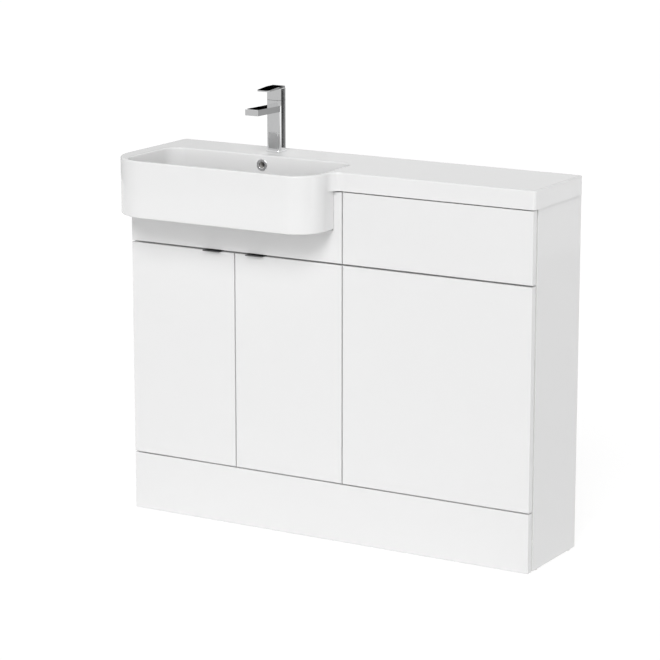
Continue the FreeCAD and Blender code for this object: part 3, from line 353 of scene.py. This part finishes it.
def cast_top(looks):
    """Polished gel coat with painted shade in the bowl, and rough filler on the hidden underside."""
    material, finish = new_finish("cast_white")
    place = finish.place()
    x, y, z = finish.split(place)
    faces = finish.facing()
    low, high = corners("basin_top")
    top_middle_x, half_width = (low.x + high.x) / 2, (high.x - low.x) / 2
    fascia_y = corners("vanity_fascia")[0].y
    floor_z = corners("waste_body")[1].z
    bowl_x, bowl_y = middle("waste_body").x, (low.y + BOWL_BACK) / 2
    from_bowl_x = (x - bowl_x).size()

    # The underside: inside the outer edges, behind the fascia, below the skin and outside the bowl
    inside = (x - top_middle_x).size() < half_width - EDGE_MARGIN
    behind = (y > fascia_y - FASCIA_MARGIN) * (y < high.y - REAR_MARGIN)
    below = z < high.z - TOP_SKIN
    bowl = (from_bowl_x < BOWL_HALF_WIDTH) * (y < BOWL_BACK) * (z > floor_z - BOWL_UNDER)
    rough = inside * behind * below * (1 - bowl)

    # Painted shade in the bowl: on walls that face its middle and on its floor, darker lower down
    to_middle = (x - bowl_x) * faces[0] + (y - bowl_y) * faces[1] < 0
    inward = to_middle.largest(faces[2] > FACING)
    hollow = inward * (from_bowl_x < BOWL_HALF_WIDTH + MM) * (y < BOWL_BACK + MM)
    under_rim = (z > floor_z - EDGE_MARGIN) * (z < high.z - EDGE_MARGIN)
    tone = hollow * under_rim * (high.z - z).steps(*PAINTED_SHADE_DEPTHS)

    broad_mottle = finish.noise(place, scale=14.0, detail=4.0)
    fine_mottle = finish.noise(place, scale=55.0, detail=3.0)
    mottle = broad_mottle * 0.5 + fine_mottle * 0.5
    ripple = finish.noise(place, scale=7.0, detail=1.0)
    coat = finish.blend(mottle, rgba(looks.cast_colour), rgba(looks.cast_colour, 0.985))
    # Painted shade: the bowl's walls and floor are blended towards black
    coat = finish.blend(tone * looks.bowl_painted_shade, coat, rgba(BLACK))
    shine = looks.cast_roughness + finish.noise(place, scale=20.0, detail=3.0) * 0.03
    sand = finish.noise(place, scale=160.0, detail=5.0, roughness=0.7)
    filler = finish.blend(sand, rgba(FILLER_DARK), rgba(FILLER_PALE))
    grit = finish.noise(place, scale=420.0, detail=4.0, roughness=0.7)
    height = ripple * 0.04 + rough * grit
    finish.surface(**{
        "Base Color": finish.blend(rough, coat, filler),
        "Roughness": shine.largest(rough * 0.8),
        "Normal": finish.bump(height, distance=0.4 * MM, strength=0.6),
        "IOR": COATING_IOR,
    })
    return material


def chrome(looks, name, colour):
    """Polished plating with faint wiping marks."""
    material, finish = new_finish(name)
    place = finish.place()
    upright = finish.stretch(place, (1.0, 1.0, 0.25))
    wipes = finish.noise(upright, scale=60.0, detail=4.0, roughness=0.6)
    tone = finish.noise(place, scale=18.0)
    finish.surface(**{
        "Base Color": finish.blend(tone, rgba(colour), rgba(colour, 0.96)),
        "Metallic": 1.0,
        "Roughness": looks.chrome_roughness + wipes.steps(0.45, 0.75) * 0.03,
        "Normal": finish.bump(wipes, distance=0.01 * MM, strength=0.1),
    })
    return material


def turned_brass():
    """Machined brass with fine tool rings and a dulled film."""
    material, finish = new_finish("inner_metal")
    place = finish.place()
    rings = finish.noise(finish.stretch(place, (40.0, 40.0, 1800.0)), scale=1.0)
    tone = finish.noise(place, scale=90.0, detail=4.0)
    finish.surface(**{
        "Base Color": finish.blend(tone, rgba(BRASS_BRIGHT), rgba(BRASS_DULL)),
        "Metallic": 1.0,
        "Roughness": 0.2 + tone * 0.2,
        "Normal": finish.bump(rings, distance=0.05 * MM, strength=0.4),
    })
    return material


def plated_steel():
    """Nickel-plated pressed steel with drawn lines."""
    material, finish = new_finish("plated_steel")
    place = finish.place()
    lines = finish.noise(finish.stretch(place, (60.0, 900.0, 900.0)), scale=1.0, detail=3.0)
    cloud = finish.noise(place, scale=130.0, detail=3.0)
    finish.surface(**{
        "Base Color": finish.blend(cloud, rgba(NICKEL_BRIGHT), rgba(NICKEL_DULL)),
        "Metallic": 1.0,
        "Roughness": 0.2 + lines * 0.18,
        "Normal": finish.bump(lines, distance=0.03 * MM, strength=0.4),
    })
    return material


def moulded(name, colour, roughness, grain, specular=0.5):
    """Moulded plastic or rubber with a fine eroded grain, whose depth is in millimetres."""
    material, finish = new_finish(name)
    place = finish.place()
    spots = finish.noise(place, scale=1400.0, roughness=0.6)
    cloud = finish.noise(place, scale=120.0, detail=3.0)
    finish.surface(**{
        "Base Color": finish.blend(cloud, rgba(colour), rgba(colour, 0.88)),
        "Roughness": roughness + (spots - 0.5) * 0.2,
        "Normal": finish.bump(spots, distance=grain * MM, strength=0.5),
        "Specular IOR Level": specular,
    })
    return material


class FinishSettings(bpy.types.PropertyGroup):
    """Colours and gloss of the finishes."""

    lacquer_colour: bpy.props.FloatVectorProperty(
        name="Lacquer", description="Colour of the gloss fronts and end panels", subtype="COLOR",
        default=(0.80, 0.80, 0.80), min=0.0, max=1.0)
    lacquer_roughness: bpy.props.FloatProperty(
        name="Lacquer roughness", description="Roughness of the gloss fronts", subtype="FACTOR",
        default=0.06, min=0.0, max=1.0)
    melamine_colour: bpy.props.FloatVectorProperty(
        name="Board facing", description="Colour of the satin board faces", subtype="COLOR",
        default=(0.79, 0.79, 0.78), min=0.0, max=1.0)
    melamine_roughness: bpy.props.FloatProperty(
        name="Board facing roughness", description="Roughness of the satin board faces",
        subtype="FACTOR", default=0.4, min=0.0, max=1.0)
    cast_colour: bpy.props.FloatVectorProperty(
        name="Gel coat", description="Colour of the cast basin top", subtype="COLOR",
        default=(0.82, 0.82, 0.82), min=0.0, max=1.0)
    cast_roughness: bpy.props.FloatProperty(
        name="Gel coat roughness", description="Roughness of the cast basin top", subtype="FACTOR",
        default=0.05, min=0.0, max=1.0)
    # Strength of the painted shade that darkens the bowl's lower walls and floor
    bowl_painted_shade: bpy.props.FloatProperty(
        name="Bowl film", description="How much use has dulled the bowl's lower walls",
        subtype="FACTOR", default=0.12, min=0.0, max=1.0)
    chrome_colour: bpy.props.FloatVectorProperty(
        name="Chrome", description="Colour of the tap, waste and overflow plating", subtype="COLOR",
        default=(0.85, 0.855, 0.86), min=0.0, max=1.0)
    pull_colour: bpy.props.FloatVectorProperty(
        name="Pulls", description="Colour of the door pulls' plating", subtype="COLOR",
        default=(0.09, 0.09, 0.095), min=0.0, max=1.0)
    chrome_roughness: bpy.props.FloatProperty(
        name="Chrome roughness", description="Roughness of the plating", subtype="FACTOR",
        default=0.04, min=0.0, max=1.0)


class FastenerSettings(bpy.types.PropertyGroup):
    """Sizes of the small screws and of the aerator's screen."""

    cup_screw_radius: bpy.props.FloatProperty(
        name="Cup screw radius", description="Head radius of the hinge cup screws",
        subtype="DISTANCE", unit="LENGTH", default=3.3 * MM)
    plate_screw_radius: bpy.props.FloatProperty(
        name="Plate screw radius", description="Head radius of the mounting plate screws",
        subtype="DISTANCE", unit="LENGTH", default=3.6 * MM)
    arm_screw_radius: bpy.props.FloatProperty(
        name="Arm screw radius", description="Head radius of the hinge arms' adjusting screws",
        subtype="DISTANCE", unit="LENGTH", default=3.0 * MM)
    screw_height: bpy.props.FloatProperty(
        name="Head height", description="Height of the screw heads",
        subtype="DISTANCE", unit="LENGTH", default=1.7 * MM)
    screen_pitch: bpy.props.FloatProperty(
        name="Screen pitch", description="Spacing of the aerator screen's bars",
        subtype="DISTANCE", unit="LENGTH", default=1.6 * MM)


class StageSettings(bpy.types.PropertyGroup):
    """Camera, lights and floor."""

    camera_place: bpy.props.FloatVectorProperty(
        name="Camera", description="Place of the camera",
        subtype="TRANSLATION", unit="LENGTH", default=(3.2427, -5.5546, 1.9632))
    camera_turn: bpy.props.FloatVectorProperty(
        name="Camera rotation", description="Rotation of the camera",
        subtype="EULER", unit="ROTATION",
        default=(math.radians(77.239), 0.0, math.radians(30.451)))
    camera_lens: bpy.props.FloatProperty(
        name="Lens", description="Focal length in millimetres on a 36 mm sensor",
        subtype="DISTANCE_CAMERA", default=149.99)
    low_sky: bpy.props.FloatProperty(
        name="Low light", description="Strength of the even light from all round, near the floor",
        default=1.07, min=0.0)
    high_sky: bpy.props.FloatProperty(
        name="High light", description="Strength of the even light from straight above",
        default=0.2, min=0.0)
    right_fill: bpy.props.FloatProperty(
        name="Right fill", description="Extra light from the open right of the studio",
        default=0.55, min=0.0)
    left_fill: bpy.props.FloatProperty(
        name="Left fill", description="Extra light from the open left of the studio",
        default=0.6, min=0.0)
    key_strength: bpy.props.FloatProperty(
        name="Key light", description="Strength of the large soft light",
        default=1.76, min=0.0)
    key_softness: bpy.props.FloatProperty(
        name="Key softness", description="Angle that the key light covers",
        subtype="ANGLE", unit="ROTATION", default=math.radians(26.0))
    floor_colour: bpy.props.FloatVectorProperty(
        name="Floor", description="Colour of the floor", subtype="COLOR",
        default=(0.75, 0.75, 0.75), min=0.0, max=1.0)


class VANITY_OT_fronts(bpy.types.Operator):
    """Lacquer the fronts and the two end panels"""

    bl_idname = "vanity.fronts"
    bl_label = "Lacquered fronts"

    def execute(self, context):
        looks = context.scene.vanity_finishes
        dress(GLOSS_FRONTS, gloss_lacquer(looks))
        for name, side in END_PANELS.items():
            dress([name], board(looks, f"{name}_finish", thin_side(name), side))
        return {"FINISHED"}


class VANITY_OT_carcass(bpy.types.Operator):
    """Face the inner boards with satin white"""

    bl_idname = "vanity.carcass"
    bl_label = "Carcass boards"

    def execute(self, context):
        looks = context.scene.vanity_finishes
        for thin, kind in enumerate(("upright", "rail", "shelf")):
            alike = [name for name in INNER_BOARDS if thin_side(name) == thin]
            dress(alike, board(looks, f"white_{kind}", thin))
        return {"FINISHED"}


class VANITY_OT_basin(bpy.types.Operator):
    """Give the basin top its gel coat"""

    bl_idname = "vanity.basin"
    bl_label = "Basin top"

    def execute(self, context):
        dress(["basin_top"], cast_top(context.scene.vanity_finishes))
        return {"FINISHED"}


class VANITY_OT_plating(bpy.types.Operator):
    """Plate the tap, waste, overflow and pulls"""

    bl_idname = "vanity.plating"
    bl_label = "Chrome pieces"

    def execute(self, context):
        looks = context.scene.vanity_finishes
        dress(CHROME_PIECES, chrome(looks, "chrome", tuple(looks.chrome_colour)))
        dress(PULLS, chrome(looks, "dark_chrome", tuple(looks.pull_colour)))
        return {"FINISHED"}


class VANITY_OT_workings(bpy.types.Operator):
    """Finish the hidden metal, rubber and moulded pieces"""

    bl_idname = "vanity.workings"
    bl_label = "Hidden workings"

    def execute(self, context):
        dress(BRASS_PIECES, turned_brass())
        dress(STEEL_PIECES, plated_steel())
        dress(RUBBER_PIECES, moulded("black_rubber", RUBBER_COLOUR, roughness=0.7, grain=0.02,
                                     specular=0.3))
        dress(BUMPERS, moulded("clear_bumper", BUMPER_COLOUR, roughness=0.35, grain=0.005))
        dress(WHITE_MOULDINGS, moulded("white_plastic", MOULDING_COLOUR, roughness=0.4, grain=0.01))
        return {"FINISHED"}


def screw_head(radius, height):
    """Mesh of a cross-recessed pan head that stands on z = 0."""
    mesh = bpy.data.meshes.new("screw_head")
    work = bmesh.new()
    turns = [2 * math.pi * step / SCREW_TURNS for step in range(SCREW_TURNS)]
    outline = [(radius, 0.0), (radius, height * 0.35), (radius * 0.93, height * 0.72),
               (radius * 0.72, height * 0.95), (radius * 0.5, height)]
    rings = [[work.verts.new((r * math.cos(turn), r * math.sin(turn), z)) for turn in turns]
             for r, z in outline]
    for lower, upper in zip(rings, rings[1:]):
        for step in range(SCREW_TURNS):
            following = (step + 1) % SCREW_TURNS
            work.faces.new((lower[step], lower[following], upper[following], upper[step]))
    arm, half, deep, taper = radius * 0.46, radius * 0.1, height * 0.75, 0.7
    cross = [(arm, -half), (arm, half), (half, half), (half, arm), (-half, arm), (-half, half),
             (-arm, half), (-arm, -half), (-half, -half), (-half, -arm), (half, -arm), (half, -half)]
    mouth = [work.verts.new((x, y, height)) for x, y in cross]
    floor = [work.verts.new((x * taper, y * taper, height - deep)) for x, y in cross]
    for step in range(len(cross)):
        following = (step + 1) % len(cross)
        work.faces.new((mouth[step], mouth[following], floor[following], floor[step]))
    work.faces.new(floor)
    rim = rings[-1]
    loops = [work.edges.get(ends) for ends in zip(rim, rim[1:] + rim[:1])]
    loops += [work.edges.get(ends) for ends in zip(mouth, mouth[1:] + mouth[:1])]
    bmesh.ops.triangle_fill(work, edges=loops, use_beauty=True)
    work.faces.new(list(reversed(rings[0])))
    bmesh.ops.recalc_face_normals(work, faces=work.faces)
    work.to_mesh(mesh)
    work.free()
    return mesh


def set_piece(name, mesh, matrix, body, material):
    """Place a piece, finish it and let it ride on a body."""
    piece = bpy.data.objects.new(name, mesh)
    bpy.context.scene.collection.objects.link(piece)
    piece.matrix_world = matrix
    piece.data.materials.append(material)
    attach(piece, body)


def hinge_levels(node):
    """Middle heights of the two hinges in a hinge group."""
    low, high = corners(node)
    return (low.z + HINGE_HALF_HEIGHT, high.z - HINGE_HALF_HEIGHT)


class VANITY_OT_hinge_screws(bpy.types.Operator):
    """Set the screws of the concealed hinges"""

    bl_idname = "vanity.hinge_screws"
    bl_label = "Hinge screws"

    def execute(self, context):
        sizes = context.scene.vanity_fasteners
        steel = bpy.data.materials["plated_steel"]
        cup_head = screw_head(sizes.cup_screw_radius, sizes.screw_height)
        plate_head = screw_head(sizes.plate_screw_radius, sizes.screw_height)
        arm_head = screw_head(sizes.arm_screw_radius, sizes.screw_height)
        out_of_door = Matrix.Rotation(math.radians(-90), 4, "X")

        def set_screw(name, head, place, turn, body):
            set_piece(name, head.copy(), Matrix.Translation(place) @ turn, body, steel)

        for side, inward in (("left", 1), ("right", -1)):
            into_room = Matrix.Rotation(math.radians(90 * inward), 4, "Y")
            cups_low, cups_high = corners(f"{side}_hinge_cups")
            plates_low, plates_high = corners(f"{side}_hinge_plates")
            arms_low, arms_high = corners(f"{side}_hinge_arms")
            cup_x = (cups_low.x + cups_high.x) / 2
            plate_x = (plates_low.x if inward > 0 else plates_high.x) + inward * PLATE_WING
            plate_y = (plates_low.y + plates_high.y) / 2
            arm_x = arms_high.x if inward > 0 else arms_low.x
            for number, level in enumerate(hinge_levels(f"{side}_hinge_plates"), 1):
                for mark, offset in CUP_SCREW_OFFSETS.items():
                    set_screw(f"{side}_cup_screw_{number}{mark}", cup_head,
                              Vector((cup_x, cups_high.y, level + offset)), out_of_door,
                              f"{side}_door_leaf")
                for mark, offset in PLATE_SCREW_OFFSETS.items():
                    set_screw(f"{side}_plate_screw_{number}{mark}", plate_head,
                              Vector((plate_x, plate_y, level + offset)), into_room, "carcass")
                for mark, setback in ARM_SCREW_SETBACKS.items():
                    set_screw(f"{side}_arm_screw_{number}{mark}", arm_head,
                              Vector((arm_x, arms_high.y - setback, level)), into_room, "carcass")
        return {"FINISHED"}


def screen_mesh(radius, pitch, thickness):
    """Crossing flat bars clipped to a circle, lying on z = 0."""
    mesh = bpy.data.meshes.new("aerator_screen")
    work = bmesh.new()
    half_bar = pitch * 0.22
    shortest = 0.2 * radius
    layer = thickness * 0.5
    count = int(radius / pitch)
    for turned in (False, True):
        for step in range(-count, count + 1):
            offset = step * pitch
            reach = math.sqrt(max(radius ** 2 - (abs(offset) + half_bar) ** 2, shortest ** 2))
            if turned:
                size, centre = (2 * half_bar, 2 * reach, layer, 1.0), (offset, 0.0, layer)
            else:
                size, centre = (2 * reach, 2 * half_bar, layer, 1.0), (0.0, offset, 0.0)
            bmesh.ops.create_cube(work, size=1.0,
                                  matrix=Matrix.Translation(centre) @ Matrix.Diagonal(size))
    work.to_mesh(mesh)
    work.free()
    return mesh


class VANITY_OT_aerator(bpy.types.Operator):
    """Set the screen in the spout's aerator"""

    bl_idname = "vanity.aerator"
    bl_label = "Aerator screen"

    def execute(self, context):
        low, high = corners("tap_aerator")
        place = Vector(((low.x + high.x) / 2, (low.y + high.y) / 2, low.z + SCREEN_LIFT))
        pitch = context.scene.vanity_fasteners.screen_pitch
        mesh = screen_mesh(SCREEN_RADIUS, pitch, SCREEN_THICKNESS)
        set_piece("aerator_screen", mesh, Matrix.Translation(place), "carcass",
                  bpy.data.materials["white_plastic"])
        return {"FINISHED"}


def stage_sheet(name, points, faces, material):
    """A sheet of the studio, which isn't part of the unit."""
    mesh = bpy.data.meshes.new(name)
    mesh.from_pydata(points, [], faces)
    mesh.materials.append(material)
    sheet = bpy.data.objects.new(name, mesh)
    bpy.context.scene.collection.objects.link(sheet)
    return sheet


def seen_white(finish):
    """1 for rays that come from the camera, a mirror or glass."""
    path = finish.node("ShaderNodeLightPath").socket.node.outputs
    camera, glossy, through = (Field(finish, path[name])
                               for name in ("Is Camera Ray", "Is Glossy Ray", "Is Transmission Ray"))
    return camera.largest(glossy).largest(through)


def floor_finish(stage):
    """Pale floor that reads white and keeps the unit's soft shadow."""
    material, finish = new_finish("studio_floor")
    seen = seen_white(finish)
    matt = finish.node("ShaderNodeBsdfDiffuse", sockets={"Color": rgba(stage.floor_colour)})
    shadow = finish.node("ShaderNodeBsdfDiffuse", sockets={"Color": rgba(WHITE, FLOOR_SHADOW_GREY)})
    white = finish.node("ShaderNodeEmission", sockets={"Color": rgba(WHITE), "Strength": FLOOR_WHITE})
    shaded = finish.node("ShaderNodeAddShader", sockets={0: shadow, 1: white})
    shown = finish.node("ShaderNodeMixShader", sockets={0: seen, 1: matt, 2: shaded})
    finish.node("ShaderNodeOutputMaterial", sockets={"Surface": shown})
    return material


def studio_world(stage):
    """White where it is seen, and soft light that is stronger from the two open sides."""
    world = bpy.data.worlds.new("studio")
    world.use_nodes = True
    finish = Finish(world.node_tree)
    direction = finish.node("ShaderNodeTexCoord", output="Generated")
    x, _, z = finish.split(direction)
    height = z.steps(*SKY_RISE)
    right = x.steps(*SIDE_SPREAD)
    left = (x * -1).steps(*SIDE_SPREAD)
    low = stage.low_sky + right * stage.right_fill + left * stage.left_fill
    light = low * (1 - height) + height * stage.high_sky
    seen = seen_white(finish)
    strength = light * (1 - seen) + seen
    background = finish.node("ShaderNodeBackground",
                             sockets={"Color": rgba(WHITE), "Strength": strength})
    finish.node("ShaderNodeOutputWorld", sockets={"Surface": background})
    return world


def aim(place, target):
    """A matrix at a place whose -Z looks at a target."""
    turn = (Vector(target) - Vector(place)).to_track_quat("-Z", "Y")
    return Matrix.Translation(Vector(place)) @ turn.to_matrix().to_4x4()


def mirror_screen(name, radius, turns, heights, level, reach):
    """An upright curved card round the tap that only shiny pieces see, or those within its reach."""
    tap = middle("tap_base_plate")
    first, last = turns
    steps = max(2, int((last - first) / CARD_STEP))
    points = []
    for step in range(steps + 1):
        turn = math.radians(first + (last - first) * step / steps)
        x, y = tap.x + radius * math.sin(turn), tap.y - radius * math.cos(turn)
        points += [(x, y, height) for height in heights]
    faces = [(2 * step, 2 * step + 2, 2 * step + 3, 2 * step + 1) for step in range(steps)]
    material, finish = new_finish(name)
    glow = finish.node("ShaderNodeEmission", sockets={"Color": rgba(WHITE), "Strength": level})
    if reach:
        near = finish.node("ShaderNodeLightPath", output="Ray Length") < reach
        clear = finish.node("ShaderNodeBsdfTransparent")
        glow = finish.node("ShaderNodeMixShader", sockets={0: near, 1: clear, 2: glow})
    finish.node("ShaderNodeOutputMaterial", sockets={"Surface": glow})
    screen = stage_sheet(name, points, faces, material)
    screen.visible_camera = False
    screen.visible_diffuse = False
    screen.visible_shadow = False


class VANITY_OT_stage(bpy.types.Operator):
    """Set the camera, the lights, the floor and the white background"""

    bl_idname = "vanity.stage"
    bl_label = "Studio"

    def execute(self, context):
        scene = context.scene
        stage = scene.vanity_stage
        scene.view_settings.view_transform = "Standard"
        camera_data = bpy.data.cameras.new("photo_camera")
        camera_data.lens = stage.camera_lens
        camera_data.sensor_width = SENSOR_WIDTH
        camera = bpy.data.objects.new("photo_camera", camera_data)
        scene.collection.objects.link(camera)
        camera.location = stage.camera_place
        camera.rotation_euler = stage.camera_turn
        scene.camera = camera

        edge = FLOOR_SPAN / 2
        square = [(-edge, -edge, 0), (edge, -edge, 0), (edge, edge, 0), (-edge, edge, 0)]
        stage_sheet("floor", square, [(0, 1, 2, 3)], floor_finish(stage))
        scene.world = studio_world(stage)

        key_data = bpy.data.lights.new("key_light", "SUN")
        key_data.energy = stage.key_strength
        key_data.angle = stage.key_softness
        key = bpy.data.objects.new("key_light", key_data)
        scene.collection.objects.link(key)
        key.matrix_world = aim(KEY_PLACE, (0.0, 0.0, 0.0))

        for card in CARDS:
            mirror_screen(*card)
        return {"FINISHED"}


class VANITY_PT_panel(bpy.types.Panel):
    """Lists the vanity unit's finishes, fasteners and studio"""

    bl_idname = "VANITY_PT_panel"
    bl_label = "Vanity unit"
    bl_space_type = "VIEW_3D"
    bl_region_type = "UI"
    bl_category = "Vanity unit"

    def draw(self, context):
        for settings in SETTINGS:
            group = getattr(context.scene, settings)
            box = self.layout.box()
            for name in group.__annotations__:
                box.prop(group, name)
        for operator in OPERATORS:
            self.layout.operator(operator.bl_idname)


SETTINGS = {
    "vanity_finishes": FinishSettings,
    "vanity_fasteners": FastenerSettings,
    "vanity_stage": StageSettings,
}
OPERATORS = (VANITY_OT_fronts, VANITY_OT_carcass, VANITY_OT_basin, VANITY_OT_plating,
             VANITY_OT_workings, VANITY_OT_hinge_screws, VANITY_OT_aerator, VANITY_OT_stage)


def register():
    """Make the settings, operators and panel known to Blender."""
    for name, group in SETTINGS.items():
        bpy.utils.register_class(group)
        setattr(bpy.types.Scene, name, bpy.props.PointerProperty(type=group))
    for operator in OPERATORS:
        bpy.utils.register_class(operator)
    bpy.utils.register_class(VANITY_PT_panel)


def unregister():
    """Take the panel, operators and settings out again."""
    bpy.utils.unregister_class(VANITY_PT_panel)
    for operator in reversed(OPERATORS):
        bpy.utils.unregister_class(operator)
    for name, group in SETTINGS.items():
        delattr(bpy.types.Scene, name)
        bpy.utils.unregister_class(group)


def main():
    """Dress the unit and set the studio."""
    register()
    bpy.ops.vanity.fronts()
    bpy.ops.vanity.carcass()
    bpy.ops.vanity.basin()
    bpy.ops.vanity.plating()
    bpy.ops.vanity.workings()
    bpy.ops.vanity.hinge_screws()
    bpy.ops.vanity.aerator()
    bpy.ops.vanity.stage()


if __name__ == "__main__":
    main()
